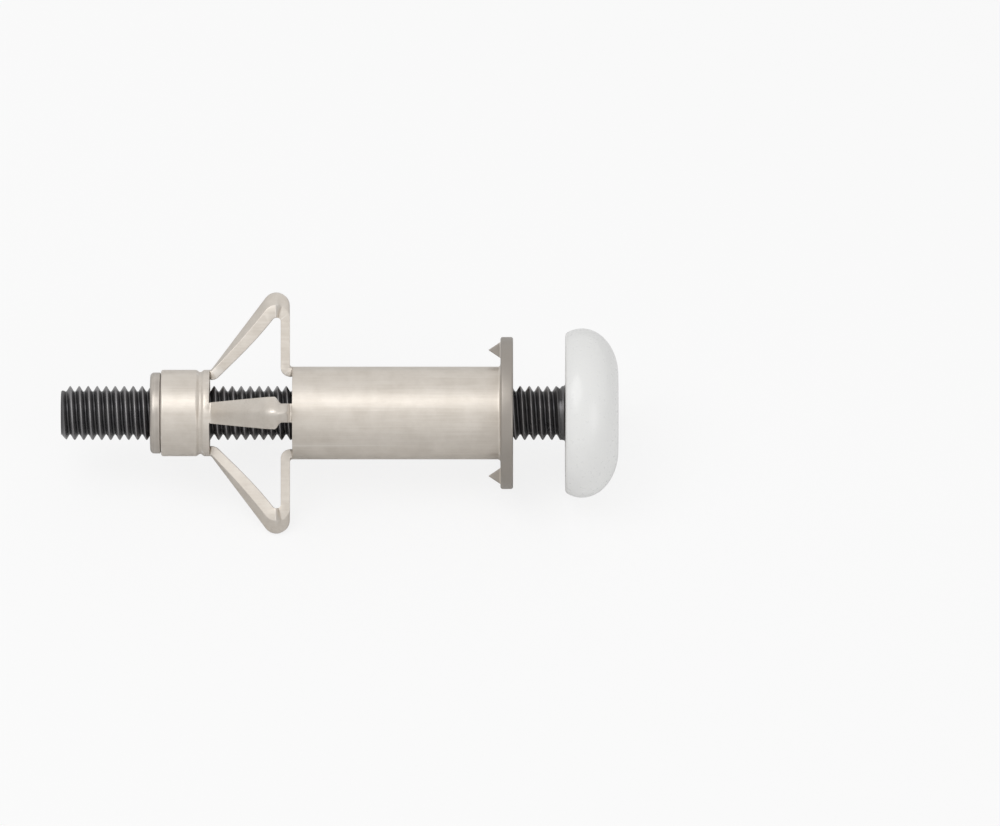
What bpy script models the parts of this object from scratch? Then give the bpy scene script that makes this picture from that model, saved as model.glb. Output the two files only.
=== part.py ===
"""Metal hollow wall anchor, shown set.

Three pieces make it. The sleeve is one pressed tube of sheet steel: a flange
with two lanced prongs, a barrel, four legs folded out behind the grip, and a
collar. The nut sits in the collar, held there by a crimp. The screw runs
through sleeve and nut, and has a domed head with a cross recess.

Every piece is modelled along the anchor's axis, X, with X = 0 at the back face
of the flange and the head at +X. An empty then carries the pieces: it puts the
origin at the middle of the anchor, and rolls it about its axis until it lies
on two of its legs.
"""

import math

import bmesh
import bpy
from mathutils import Vector

MM = 0.001

# Screw
THREAD_DIAMETER = 6.0 * MM
THREAD_PITCH = 1.0 * MM
THREAD_DEPTH = 0.6 * MM
THREAD_CREST = 0.125 * MM
THREAD_RUN_OUT = 0.6 * MM
SCREW_LENGTH = 56.0 * MM
TIP_CHAMFER = 0.6 * MM
HEAD_STANDOFF = 5.8 * MM
HEAD_HEIGHT = 5.9 * MM
HEAD_DIAMETER = 18.8 * MM
HEAD_FLAT_DIAMETER = 8.4 * MM
HEAD_WIDEST_HEIGHT = 1.85 * MM
NECK_FILLET = 0.3 * MM

# Cross recess in the head
RECESS_SPAN = 6.6 * MM
RECESS_WING = 1.5 * MM
RECESS_DEPTH = 3.4 * MM
RECESS_DRAFT = math.radians(26)
RECESS_WING_DRAFT = math.radians(6)

# Nut
NUT_WALL = 0.7 * MM
NUT_RIM_DIAMETER = 9.0 * MM
NUT_RIM_LENGTH = 1.15 * MM
NUT_RIM_ROUNDING = 0.45 * MM
NUT_CHAMFER = 0.3 * MM

# Fits
THREAD_CLEARANCE = 0.05 * MM
FIT_GAP = 0.05 * MM

# How far a cutting tool reaches past the face that it cuts
CUT_MARGIN = 0.05 * MM

# Sleeve
SHEET = 1.0 * MM
GRIP_LENGTH = 23.4 * MM
BARREL_STEP = 0.35 * MM
FLANGE_BRIM = 3.3 * MM
FLANGE_THICKNESS = 1.4 * MM
FLANGE_ROUNDING = 0.25 * MM
FLANGE_FILLET = 0.3 * MM
MOUTH_ROUNDING = 0.8 * MM
COLLAR_LENGTH = 5.4 * MM
COLLAR_ROUNDING = 0.25 * MM
CRIMP_SETBACK = 1.05 * MM
CRIMP_WIDTH = 1.0 * MM
CRIMP_DEPTH = 0.25 * MM

# Legs
LEG_COUNT = 4
LEG_REACH = 13.4 * MM
CAGE_LENGTH = 8.9 * MM
LEG_ROOT_WIDTH = 2.3 * MM
LEG_WAIST_WIDTH = 2.1 * MM
LEG_CROWN_WIDTH = 3.6 * MM
HEEL_RADIUS = 0.3 * MM
CROWN_RADIUS = 0.5 * MM
TOE_RADIUS = 0.3 * MM
SHOULDER_LENGTH = 0.45 * MM
ARCH_ROUNDING = 0.4 * MM

# Prongs
PRONG_LENGTH = 1.35 * MM
PRONG_WIDTH = 1.8 * MM
PRONG_THICKNESS = 0.9 * MM
PRONG_RIM_MARGIN = 0.55 * MM
PRONG_ROOT = 0.6 * MM
PRONG_ANGLES = (0.0, math.pi)

# Facets
LEG_STEPS = 4
GAP_STEPS = 10
ROUND_STEPS = 4
THREAD_SIDES = 16
HEAD_SPLIT = 3
HEAD_STEPS = 10
CRIMP_STEPS = 6
HEEL_STEPS = 4
RISE_STEPS = 3
CROWN_TURN_STEP = math.radians(15)
SLOPE_STEPS = 4
TOE_STEPS = 3
SMOOTH_ANGLE = math.radians(35)

# Points closer than this are one point
SAME_POINT = 0.0002 * MM

# Place of the thread's finish in the screw's list of materials; the head's comes first
THREAD_FINISH = 1

# Radii, worked out from the thread outwards
THREAD_RADIUS = THREAD_DIAMETER / 2
NUT_BORE = THREAD_RADIUS + THREAD_CLEARANCE
NUT_BODY = NUT_BORE + NUT_WALL
COLLAR_INNER = NUT_BODY + FIT_GAP
COLLAR_OUTER = COLLAR_INNER + SHEET
BARREL_INNER = COLLAR_INNER + BARREL_STEP
BARREL_OUTER = BARREL_INNER + SHEET
FLANGE_RADIUS = BARREL_OUTER + FLANGE_BRIM

# Places along the axis, from the seat of the flange
FLANGE_FACE_X = FLANGE_THICKNESS
HEAD_SEAT_X = FLANGE_FACE_X + HEAD_STANDOFF
HEAD_END_X = HEAD_SEAT_X + HEAD_HEIGHT
SCREW_TIP_X = HEAD_SEAT_X - SCREW_LENGTH
NECK_X = HEAD_SEAT_X - NECK_FILLET
LEG_BEARING_X = -GRIP_LENGTH
BARREL_END_X = LEG_BEARING_X + HEEL_RADIUS
COLLAR_FRONT_X = LEG_BEARING_X - CAGE_LENGTH
COLLAR_REAR_X = COLLAR_FRONT_X - COLLAR_LENGTH
CRIMP_X = COLLAR_FRONT_X - CRIMP_SETBACK
NUT_SEAT_X = COLLAR_REAR_X - FIT_GAP
NUT_REAR_X = NUT_SEAT_X - NUT_RIM_LENGTH
NUT_FRONT_X = CRIMP_X - CRIMP_WIDTH / 2 - FIT_GAP
ANCHOR_REAR_X = min(SCREW_TIP_X, NUT_REAR_X)

LEG_PITCH = 2 * math.pi / LEG_COUNT
LEG_ROOT_ANGLE = 2 * math.asin(LEG_ROOT_WIDTH / 2 / BARREL_OUTER)


def clear_scene():
    for scene_object in list(bpy.data.objects):
        bpy.data.objects.remove(scene_object, do_unlink=True)


def make_material(name, colour, roughness, metallic):
    material = bpy.data.materials.new(name)
    material.use_nodes = True
    shader = material.node_tree.nodes["Principled BSDF"]
    shader.inputs["Base Color"].default_value = (*colour, 1.0)
    shader.inputs["Roughness"].default_value = roughness
    shader.inputs["Metallic"].default_value = metallic
    return material


def make_object(name, bm, parent, materials=()):
    """Turns a closed mesh, written in the anchor's own frame, into a named object."""
    bmesh.ops.recalc_face_normals(bm, faces=bm.faces)
    mesh = bpy.data.meshes.new(name)
    bm.to_mesh(mesh)
    bm.free()
    piece = bpy.data.objects.new(name, mesh)
    bpy.context.scene.collection.objects.link(piece)
    piece.parent = parent
    for material in materials:
        mesh.materials.append(material)
    return piece


def shade_round(piece):
    piece.data.shade_smooth()
    piece.data.set_sharp_from_angle(angle=SMOOTH_ANGLE)


def make_cutter(name, bm, parent):
    cutter = make_object(name, bm, parent)
    cutter.display_type = "WIRE"
    cutter.hide_render = True
    return cutter


def combine(piece, tool, operation):
    """Cuts a tool out of a piece, or joins it on."""
    modifier = piece.modifiers.new(f"{operation.lower()} {tool.name}", "BOOLEAN")
    modifier.operation = operation
    modifier.solver = "EXACT"
    modifier.object = tool


# Turned and drawn forms. The sleeve and the nut share the same divisions round the axis, so that the
# nut keeps the same gap to the collar all the way round.


def ring_angles():
    """Angles round the axis: a few across the root of each leg, then the slot up to the next."""
    angles = []
    slot_angle = LEG_PITCH - LEG_ROOT_ANGLE
    for leg in range(LEG_COUNT):
        start = leg * LEG_PITCH - LEG_ROOT_ANGLE / 2
        angles += [start + LEG_ROOT_ANGLE * step / LEG_STEPS for step in range(LEG_STEPS)]
        start += LEG_ROOT_ANGLE
        angles += [start + slot_angle * step / GAP_STEPS for step in range(GAP_STEPS)]
    return angles


RING_ANGLES = ring_angles()
LEG_STRIDE = LEG_STEPS + GAP_STEPS


def point_at(x, radius, angle, sideways=0.0):
    """A point at a radius on the ray at an angle, moved sideways from that ray."""
    y = radius * math.cos(angle) - sideways * math.sin(angle)
    z = radius * math.sin(angle) + sideways * math.cos(angle)
    return Vector((x, y, z))


def add_ring(bm, x, radius, angles=RING_ANGLES):
    return [bm.verts.new(point_at(x, radius, angle)) for angle in angles]


def join_rings(bm, ring_a, ring_b, skipped=()):
    """Faces between two rings, leaving out the steps that are in skipped."""
    count = len(ring_a)
    for step in range(count):
        if step not in skipped:
            following = (step + 1) % count
            bm.faces.new((ring_a[step], ring_a[following], ring_b[following], ring_b[step]))


def join_in_turn(bm, rings):
    for ring_a, ring_b in zip(rings, rings[1:]):
        join_rings(bm, ring_a, ring_b)


def arc(centre_x, centre_radius, size_x, size_radius, start, end, steps):
    """Points (x, radius) on an ellipse about a centre; angles run from +X towards the outside."""
    points = []
    for step in range(steps + 1):
        angle = math.radians(start + (end - start) * step / steps)
        x = centre_x + size_x * math.cos(angle)
        radius = centre_radius + size_radius * math.sin(angle)
        points.append((x, radius))
    return points


def round_arc(centre_x, centre_radius, size, start, end):
    return arc(centre_x, centre_radius, size, size, start, end, ROUND_STEPS)


def turned_ring(profile):
    """A solid with a bore: the closed profile goes once round the axis."""
    bm = bmesh.new()
    rings = [add_ring(bm, x, radius) for x, radius in profile]
    join_in_turn(bm, rings + rings[:1])
    return bm


def spread(start, end, steps):
    return [start + (end - start) * step / steps for step in range(steps + 1)]


def blend(start, end, part):
    part = min(max(part, 0.0), 1.0)
    return start + (end - start) * part


def ease(part):
    """Turns an even rise from 0 to 1 into one that starts and ends gently."""
    part = min(max(part, 0.0), 1.0)
    return part * part * (3 - 2 * part)


# Screw. It has even divisions of its own round the axis, because its thread climbs by the same step at
# each of them.


def even_angles(sides):
    return spread(0.0, 2 * math.pi, sides)[:-1]


def thread_drop(turns):
    """How far the thread's surface lies below its crest, at a number of turns from the middle of a crest."""
    from_crest = abs(turns - round(turns)) * THREAD_PITCH
    flank = (THREAD_PITCH - THREAD_CREST) / 2
    return blend(0.0, THREAD_DEPTH, (from_crest - THREAD_CREST / 2) / flank)


def thread_radius(x, turn):
    """Radius at a place and at an angle in turns: chamfered at the tip, and run out at the neck."""
    turns = (x - SCREW_TIP_X) / THREAD_PITCH - turn
    depth = thread_drop(turns) * ease((NECK_X - x) / THREAD_RUN_OUT)
    chamfer = THREAD_RADIUS - TIP_CHAMFER + (x - SCREW_TIP_X)
    return min(THREAD_RADIUS - depth, chamfer)


def thread_row(bm, start):
    """One turn of a row of points along the right-hand helix, held between the tip and the neck."""
    row = []
    for turn in spread(0.0, 1.0, THREAD_SIDES)[:-1]:
        x = min(max(start + turn * THREAD_PITCH, SCREW_TIP_X), NECK_X)
        row.append(bm.verts.new(point_at(x, thread_radius(x, turn), 2 * math.pi * turn)))
    return row


def add_thread(bm):
    """The thread as one skin, with the flat tip.

    Each pitch has three rows: both edges of the crest, and the root. The end of a row meets the start of
    the row one pitch on. Rows that start before the tip or end past the neck lie on the end rings there.
    """
    pitches = math.ceil((NECK_X - SCREW_TIP_X) / THREAD_PITCH)
    places = (-THREAD_CREST / 2, THREAD_CREST / 2, THREAD_PITCH / 2)
    rows = []
    for pitch in range(-2, pitches + 2):
        start = SCREW_TIP_X + pitch * THREAD_PITCH
        rows += [thread_row(bm, start + place) for place in places]
    bm.faces.new(rows[0])
    closed_rows = [row + later[:1] for row, later in zip(rows, rows[len(places):])]
    for row_a, row_b in zip(closed_rows, closed_rows[1:]):
        for side in range(THREAD_SIDES):
            bm.faces.new((row_a[side], row_a[side + 1], row_b[side + 1], row_b[side]))


def add_neck(bm):
    """The fillet between the thread and the seat of the head; returns its ring on the seat."""
    profile = round_arc(NECK_X, THREAD_RADIUS + NECK_FILLET, NECK_FILLET, -90, 0)
    rings = [add_ring(bm, x, radius, even_angles(THREAD_SIDES)) for x, radius in profile]
    join_in_turn(bm, rings)
    return rings[-1]


def head_profile():
    """The dome is one elliptical arc from the seat of the head, past its widest point, to its flat end."""
    flat_radius = HEAD_FLAT_DIAMETER / 2
    widest_x = HEAD_SEAT_X + HEAD_WIDEST_HEIGHT
    crown_height = HEAD_HEIGHT - HEAD_WIDEST_HEIGHT
    overhang = HEAD_DIAMETER / 2 - flat_radius
    seat_angle = 90 + math.degrees(math.asin(HEAD_WIDEST_HEIGHT / crown_height))
    return arc(widest_x, flat_radius, crown_height, overhang, seat_angle, 0, HEAD_STEPS)


def add_head(bm, neck):
    """The head on the neck's ring: its flat seat, then the dome with more sides than the neck."""
    angles = even_angles(THREAD_SIDES * HEAD_SPLIT)
    rings = [add_ring(bm, x, radius, angles) for x, radius in head_profile()]
    rim = rings[0] + rings[0][:1]
    for side in range(THREAD_SIDES):
        first = side * HEAD_SPLIT
        following = neck[(side + 1) % THREAD_SIDES]
        bm.faces.new([neck[side]] + rim[first:first + HEAD_SPLIT + 1] + [following])
    join_in_turn(bm, rings)
    bm.faces.new(rings[-1])


def screw_form():
    bm = bmesh.new()
    add_thread(bm)
    neck = add_neck(bm)
    for face in bm.faces:
        face.material_index = THREAD_FINISH
    add_head(bm, neck)
    bmesh.ops.remove_doubles(bm, verts=bm.verts, dist=SAME_POINT)
    return bm


def cross_outline(span, wing):
    """Corners (y, z) of a cross, given from tip to tip and across a wing."""
    tip = span / 2
    side = wing / 2
    corners = []
    for arm in range(4):
        turn = arm * math.pi / 2
        for along, across in ((side, -side), (tip, -side), (tip, side)):
            y = along * math.cos(turn) - across * math.sin(turn)
            z = along * math.sin(turn) + across * math.cos(turn)
            corners.append((y, z))
    return corners


def cross_recess():
    """The driver's shape: a cross whose wings narrow and thin towards the bottom of the recess."""
    narrowing = 2 * math.tan(RECESS_DRAFT)
    thinning = 2 * math.tan(RECESS_WING_DRAFT)
    bm = bmesh.new()
    rings = []
    for depth in (-CUT_MARGIN, RECESS_DEPTH):
        span = RECESS_SPAN - narrowing * depth
        wing = RECESS_WING - thinning * depth
        outline = cross_outline(span, wing)
        rings.append([bm.verts.new((HEAD_END_X - depth, y, z)) for y, z in outline])
    join_rings(bm, rings[0], rings[1])
    bm.faces.new(rings[0])
    bm.faces.new(rings[1])
    return bm


def make_screw(parent, enamel, steel):
    """The recess is cut in the first finish, which is the head's."""
    screw = make_object("screw", screw_form(), parent, [enamel, steel])
    recess = make_cutter("cross_recess_cutter", cross_recess(), parent)
    combine(screw, recess, "DIFFERENCE")
    shade_round(screw)


# Nut


def nut_profile():
    rim_radius = NUT_RIM_DIAMETER / 2
    rounding = NUT_RIM_ROUNDING
    rear = round_arc(NUT_REAR_X + rounding, rim_radius - rounding, rounding, 180, 90)
    rim_front = [(NUT_SEAT_X, rim_radius), (NUT_SEAT_X, NUT_BODY)]
    body_front = [(NUT_FRONT_X - NUT_CHAMFER, NUT_BODY), (NUT_FRONT_X, NUT_BODY - NUT_CHAMFER)]
    bore = [(NUT_FRONT_X, NUT_BORE), (NUT_REAR_X, NUT_BORE)]
    return rear + rim_front + body_front + bore


def make_nut(parent, material):
    nut = make_object("threaded_nut", turned_ring(nut_profile()), parent, [material])
    shade_round(nut)


# Sleeve


def flange_and_barrel_profile():
    """From the barrel's end along the bore, round the flange and back along the outside."""
    mouth = round_arc(FLANGE_FACE_X - MOUTH_ROUNDING, BARREL_INNER + MOUTH_ROUNDING, MOUTH_ROUNDING, -90, 0)
    rim_radius = FLANGE_RADIUS - FLANGE_ROUNDING
    rim_front = round_arc(FLANGE_FACE_X - FLANGE_ROUNDING, rim_radius, FLANGE_ROUNDING, 0, 90)
    rim_back = round_arc(FLANGE_ROUNDING, rim_radius, FLANGE_ROUNDING, 90, 180)
    fillet = round_arc(-FLANGE_FILLET, BARREL_OUTER + FLANGE_FILLET, FLANGE_FILLET, 0, -90)
    start = [(BARREL_END_X, BARREL_INNER)]
    end = [(BARREL_END_X, BARREL_OUTER)]
    return start + mouth + rim_front + rim_back + fillet + end


def crimp_dip(x):
    """How far the crimp presses the collar's wall inwards at a place along the axis."""
    offset = (x - CRIMP_X) / (CRIMP_WIDTH / 2)
    return CRIMP_DEPTH * (1 + math.cos(math.pi * offset)) / 2


def crimped_wall(radius):
    """Points (x, radius) across the crimp, from its front to its rear."""
    start = CRIMP_X + CRIMP_WIDTH / 2
    places = [start - CRIMP_WIDTH * step / CRIMP_STEPS for step in range(CRIMP_STEPS + 1)]
    return [(x, radius - crimp_dip(x)) for x in places]


def collar_profile():
    """From the collar's front along the outside, over the crimp, round the rear and back inside."""
    rear_radius = COLLAR_OUTER - COLLAR_ROUNDING
    rear = round_arc(COLLAR_REAR_X + COLLAR_ROUNDING, rear_radius, COLLAR_ROUNDING, 90, 180)
    start = [(COLLAR_FRONT_X, COLLAR_OUTER)]
    end = [(COLLAR_REAR_X, COLLAR_INNER)]
    inside = crimped_wall(COLLAR_INNER)[::-1] + [(COLLAR_FRONT_X, COLLAR_INNER)]
    return start + crimped_wall(COLLAR_OUTER) + rear + end + inside


def leg_slope():
    """Angle of the leg's straight slope: it touches the crown's bend above and the toe's bend below."""
    crown_radius = CROWN_RADIUS + SHEET / 2
    toe_radius = TOE_RADIUS + SHEET / 2
    crown_x, crown_height = crown_centre()
    toe_x, toe_height = toe_centre()
    run = crown_x - toe_x
    rise = crown_height - toe_height
    return math.atan2(rise, run) + math.asin((crown_radius + toe_radius) / math.hypot(run, rise))


def heel_centre():
    return BARREL_END_X, BARREL_OUTER + HEEL_RADIUS


def crown_centre():
    return LEG_BEARING_X - SHEET - CROWN_RADIUS, LEG_REACH - SHEET - CROWN_RADIUS


def toe_centre():
    return COLLAR_FRONT_X, COLLAR_OUTER + TOE_RADIUS


def bend(centre, radius, side, headings):
    """Stations on a bend of a leg's middle line.

    A heading is the way that the line runs, as an angle from +X towards the outside. The side is 1 where
    the sheet's outer face is on the outside of the bend, and -1 where it is on the inside.
    """
    stations = []
    for heading in headings:
        normal = heading - math.pi / 2
        x = centre[0] + side * radius * math.cos(normal)
        height = centre[1] + side * radius * math.sin(normal)
        stations.append((x, height, heading))
    return stations


def straight(start, end, steps):
    """Stations between two others, without either."""
    fractions = spread(0.0, 1.0, steps)[1:-1]
    return [
        (start[0] + (end[0] - start[0]) * part, start[1] + (end[1] - start[1]) * part, end[2])
        for part in fractions
    ]


def leg_stations():
    """The leg's middle line from barrel to collar, in the plane of the axis, and which station is its crown.

    The heel turns it out of the barrel, it rises along the bearing face, folds over at the crown, slopes
    down and turns into the collar at the toe. Each station is (x, height above the axis, heading).
    """
    up = math.pi / 2
    back = math.pi
    down_slope = back + leg_slope()
    half = SHEET / 2
    heel = bend(heel_centre(), HEEL_RADIUS + half, -1, spread(back, up, HEEL_STEPS))
    rise_turns = round((back - up) / CROWN_TURN_STEP)
    fall_turns = round((down_slope - back) / CROWN_TURN_STEP)
    headings = spread(up, back, rise_turns) + spread(back, down_slope, fall_turns)[1:]
    crown = bend(crown_centre(), CROWN_RADIUS + half, 1, headings)
    toe = bend(toe_centre(), TOE_RADIUS + half, -1, spread(down_slope, back, TOE_STEPS))
    rise = straight(heel[-1], crown[0], RISE_STEPS)
    slope = straight(crown[-1], toe[0], SLOPE_STEPS)
    return heel + rise + crown + slope + toe, len(heel + rise) + rise_turns


def distances(stations):
    """Distance of each station along the middle line from the first."""
    total = 0.0
    result = [total]
    for (x_a, height_a, _), (x_b, height_b, _) in zip(stations, stations[1:]):
        total += math.hypot(x_b - x_a, height_b - height_a)
        result.append(total)
    return result


def leg_width(to_crown, from_collar):
    """Narrow up to a shoulder just before the crown, widest at the crown, then tapering to the collar."""
    if to_crown > 0:
        return blend(LEG_WAIST_WIDTH, LEG_CROWN_WIDTH, ease(1 - to_crown / SHOULDER_LENGTH))
    return blend(LEG_ROOT_WIDTH, LEG_CROWN_WIDTH, from_collar)


def arch_height(sideways):
    """Height of the crown's arch above a point to the side: a rounded ridge with even flanks."""
    return math.hypot(ARCH_ROUNDING, sideways) - ARCH_ROUNDING


def root_arch():
    """Share of the crown's arch that the plain tube has across a leg's root."""
    tube = BARREL_OUTER * (1 - math.cos(LEG_ROOT_ANGLE / 2))
    return tube / arch_height(LEG_CROWN_WIDTH / 2)


def leg_section(bm, station, width, arch, angle):
    """One row of points across each face of a leg, as (outer row, inner row).

    The arch lowers the leg's sides towards the axis. It lowers the inner face a little more than the
    outer one, so that the sheet keeps its thickness where the flanks are steep.
    """
    x, height, heading = station
    normal_x = math.sin(heading)
    normal_height = -math.cos(heading)
    outer = []
    inner = []
    for part in spread(-1.0, 1.0, LEG_STEPS):
        sideways = part * width / 2
        ridge = part * LEG_CROWN_WIDTH / 2
        drop = arch * arch_height(ridge)
        flank = arch * ridge / math.hypot(ARCH_ROUNDING, ridge)
        inner_drop = drop + SHEET * (math.hypot(1.0, flank) - 1.0)
        for row, offset, lowered in ((outer, SHEET / 2, drop), (inner, -SHEET / 2, inner_drop)):
            point = point_at(x + offset * normal_x, height + offset * normal_height - lowered, angle, sideways)
            row.append(bm.verts.new(point))
    return outer, inner


def add_leg(bm, index, barrel_rows, collar_rows):
    """Lofts a leg between the ends of the barrel and the collar, given as (outer row, inner row)."""
    stations, crown_index = leg_stations()
    places = distances(stations)
    crown_place = places[crown_index]
    least_arch = root_arch()
    rows = [barrel_rows]
    for station, place in list(zip(stations, places))[1:-1]:
        from_barrel = place / crown_place
        from_collar = (places[-1] - place) / (places[-1] - crown_place)
        rising = min(from_barrel, from_collar)
        arch = blend(least_arch, 1.0, math.sin(rising * math.pi / 2))
        width = leg_width(crown_place - place, from_collar)
        rows.append(leg_section(bm, station, width, arch, index * LEG_PITCH))
    rows.append(collar_rows)
    for (outer_a, inner_a), (outer_b, inner_b) in zip(rows, rows[1:]):
        loop_a = outer_a + inner_a[::-1]
        loop_b = outer_b + inner_b[::-1]
        join_rings(bm, loop_a, loop_b)


def root_rows(outer_ring, inner_ring, index):
    """The part of a tube end, as (outer row, inner row), that a leg grows from."""
    first = index * LEG_STRIDE
    picks = [(first + step) % len(outer_ring) for step in range(LEG_STEPS + 1)]
    return [outer_ring[pick] for pick in picks], [inner_ring[pick] for pick in picks]


def sleeve_tube():
    """The drawn tube with its legs folded out, as one closed sheet."""
    bm = bmesh.new()
    barrel = [add_ring(bm, x, radius) for x, radius in flange_and_barrel_profile()]
    collar = [add_ring(bm, x, radius) for x, radius in collar_profile()]
    join_in_turn(bm, barrel)
    join_in_turn(bm, collar)
    under_legs = {leg * LEG_STRIDE + step for leg in range(LEG_COUNT) for step in range(LEG_STEPS)}
    join_rings(bm, barrel[-1], barrel[0], under_legs)
    join_rings(bm, collar[-1], collar[0], under_legs)
    for leg in range(LEG_COUNT):
        barrel_rows = root_rows(barrel[-1], barrel[0], leg)
        collar_rows = root_rows(collar[0], collar[-1], leg)
        add_leg(bm, leg, barrel_rows, collar_rows)
    return bm


def add_prism(bm, outline, direction):
    """Extrudes an outline of points into a closed solid."""
    face = bm.faces.new([bm.verts.new(point) for point in outline])
    grown = bmesh.ops.extrude_face_region(bm, geom=[face])
    moved = [item for item in grown["geom"] if isinstance(item, bmesh.types.BMVert)]
    bmesh.ops.translate(bm, verts=moved, vec=direction)


def prong_span():
    """Inner, middle and outer radius of a prong's foot."""
    outer = FLANGE_RADIUS - PRONG_RIM_MARGIN
    inner = outer - PRONG_WIDTH
    return inner, (inner + outer) / 2, outer


def prong_blades():
    """A pointed blade for each prong, standing in the flange and out of its seat."""
    inner, middle, outer = prong_span()
    bm = bmesh.new()
    for angle in PRONG_ANGLES:
        side = -PRONG_THICKNESS
        outline = [
            point_at(PRONG_ROOT, inner, angle, side),
            point_at(0.0, inner, angle, side),
            point_at(-PRONG_LENGTH, middle, angle, side),
            point_at(0.0, outer, angle, side),
            point_at(PRONG_ROOT, outer, angle, side),
        ]
        across = point_at(0.0, 0.0, angle, PRONG_THICKNESS)
        add_prism(bm, outline, across)
    return bm


def prong_windows():
    """The pointed opening that each prong leaves in the flange when it is bent out."""
    inner, middle, outer = prong_span()
    through = Vector((FLANGE_THICKNESS + 2 * CUT_MARGIN, 0.0, 0.0))
    bm = bmesh.new()
    for angle in PRONG_ANGLES:
        outline = [
            point_at(-CUT_MARGIN, inner, angle),
            point_at(-CUT_MARGIN, outer, angle),
            point_at(-CUT_MARGIN, middle, angle, PRONG_LENGTH),
        ]
        add_prism(bm, outline, through)
    return bm


def make_sleeve(parent, material):
    sleeve = make_object("anchor_sleeve", sleeve_tube(), parent, [material])
    blades = make_cutter("prong_blades", prong_blades(), parent)
    windows = make_cutter("prong_window_cutter", prong_windows(), parent)
    combine(sleeve, blades, "UNION")
    combine(sleeve, windows, "DIFFERENCE")
    shade_round(sleeve)


def make_axis():
    """The empty that carries the anchor: its origin at mid length, rolled so that two legs lie lowest."""
    axis = bpy.data.objects.new("anchor_axis", None)
    bpy.context.scene.collection.objects.link(axis)
    axis.location.x = -(ANCHOR_REAR_X + HEAD_END_X) / 2
    axis.rotation_euler.x = LEG_PITCH / 2
    return axis


def main():
    clear_scene()
    plated = make_material("plated_sheet", (0.63, 0.57, 0.51), 0.38, 0.7)
    plated_nut = make_material("plated_nut", (0.60, 0.54, 0.48), 0.32, 0.8)
    dark_steel = make_material("dark_steel", (0.10, 0.10, 0.11), 0.35, 0.9)
    white_enamel = make_material("white_enamel", (0.86, 0.86, 0.85), 0.3, 0.0)
    axis = make_axis()
    make_sleeve(axis, plated)
    make_nut(axis, plated_nut)
    make_screw(axis, white_enamel, dark_steel)


main()
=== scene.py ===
"""Looks of the metal hollow wall anchor, shown set.

The sleeve, the nut and the screw are modelled again here with fine detail, and
each stands in for its solid. Every piece is written along the anchor's own
axis, X, with X = 0 at the back face of the flange, and then placed where its
solid stands.
"""

import math

import bmesh
import bpy
from mathutils import Matrix, Vector


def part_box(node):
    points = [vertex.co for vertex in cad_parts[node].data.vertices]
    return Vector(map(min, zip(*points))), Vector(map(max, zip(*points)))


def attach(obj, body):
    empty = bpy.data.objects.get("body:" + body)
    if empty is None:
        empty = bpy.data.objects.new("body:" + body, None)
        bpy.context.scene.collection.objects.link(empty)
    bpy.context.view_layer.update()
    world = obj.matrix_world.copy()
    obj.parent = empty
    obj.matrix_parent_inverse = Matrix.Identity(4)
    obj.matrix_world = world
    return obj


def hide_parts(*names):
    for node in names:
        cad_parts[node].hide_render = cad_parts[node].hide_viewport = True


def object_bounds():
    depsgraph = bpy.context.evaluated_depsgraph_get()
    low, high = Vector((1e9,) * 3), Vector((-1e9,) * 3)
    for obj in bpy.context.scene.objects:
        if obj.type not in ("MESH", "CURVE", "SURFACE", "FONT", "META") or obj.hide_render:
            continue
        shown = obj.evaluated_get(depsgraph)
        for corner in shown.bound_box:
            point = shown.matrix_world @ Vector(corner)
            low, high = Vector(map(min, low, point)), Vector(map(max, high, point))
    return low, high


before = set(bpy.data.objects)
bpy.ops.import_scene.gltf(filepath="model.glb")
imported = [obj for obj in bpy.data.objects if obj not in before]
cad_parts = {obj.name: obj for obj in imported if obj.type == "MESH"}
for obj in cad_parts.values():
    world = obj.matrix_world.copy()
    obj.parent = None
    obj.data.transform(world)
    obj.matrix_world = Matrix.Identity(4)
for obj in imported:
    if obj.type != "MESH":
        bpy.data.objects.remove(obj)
CAD_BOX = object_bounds()

MM = 0.001

# Sheet of the sleeve
SHEET = 1.0 * MM
EDGE_BREAK = 0.1 * MM
EDGE_BREAK_STEPS = 3
EDGE_BREAK_ANGLE = math.radians(40)

# Barrel, flange and collar
BARREL_OUTER = 5.15 * MM
FLANGE_RADIUS = 8.45 * MM
FLANGE_THICKNESS = 1.4 * MM
FLANGE_ROUNDING = 0.25 * MM
FLANGE_FILLET = 0.3 * MM
MOUTH_ROUNDING = 0.8 * MM
COLLAR_OUTER = 4.8 * MM
COLLAR_LENGTH = 5.4 * MM
COLLAR_ROUNDING = 0.25 * MM
CRIMP_SETBACK = 1.05 * MM
CRIMP_WIDTH = 1.0 * MM
CRIMP_DEPTH = 0.25 * MM

# Legs
LEG_COUNT = 4
LEG_REACH = 13.4 * MM
CAGE_LENGTH = 8.9 * MM
LEG_ROOT_WIDTH = 2.3 * MM
LEG_WAIST_WIDTH = 2.1 * MM
LEG_CROWN_WIDTH = 3.6 * MM
HEEL_RADIUS = 0.3 * MM
CROWN_RADIUS = 0.5 * MM
TOE_RADIUS = 0.3 * MM
SHOULDER_LENGTH = 0.45 * MM
ARCH_ROUNDING = 0.4 * MM

# Prongs of the flange
PRONG_LENGTH = 1.35 * MM
PRONG_WIDTH = 1.8 * MM
PRONG_THICKNESS = 0.9 * MM
PRONG_RIM_MARGIN = 0.55 * MM
PRONG_ROOT = 0.6 * MM
PRONG_SETBACK = 0.01 * MM
PRONG_EDGE_BREAK = 0.08 * MM
PRONG_ANGLES = (0.0, math.pi)
CUT_MARGIN = 0.05 * MM

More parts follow.
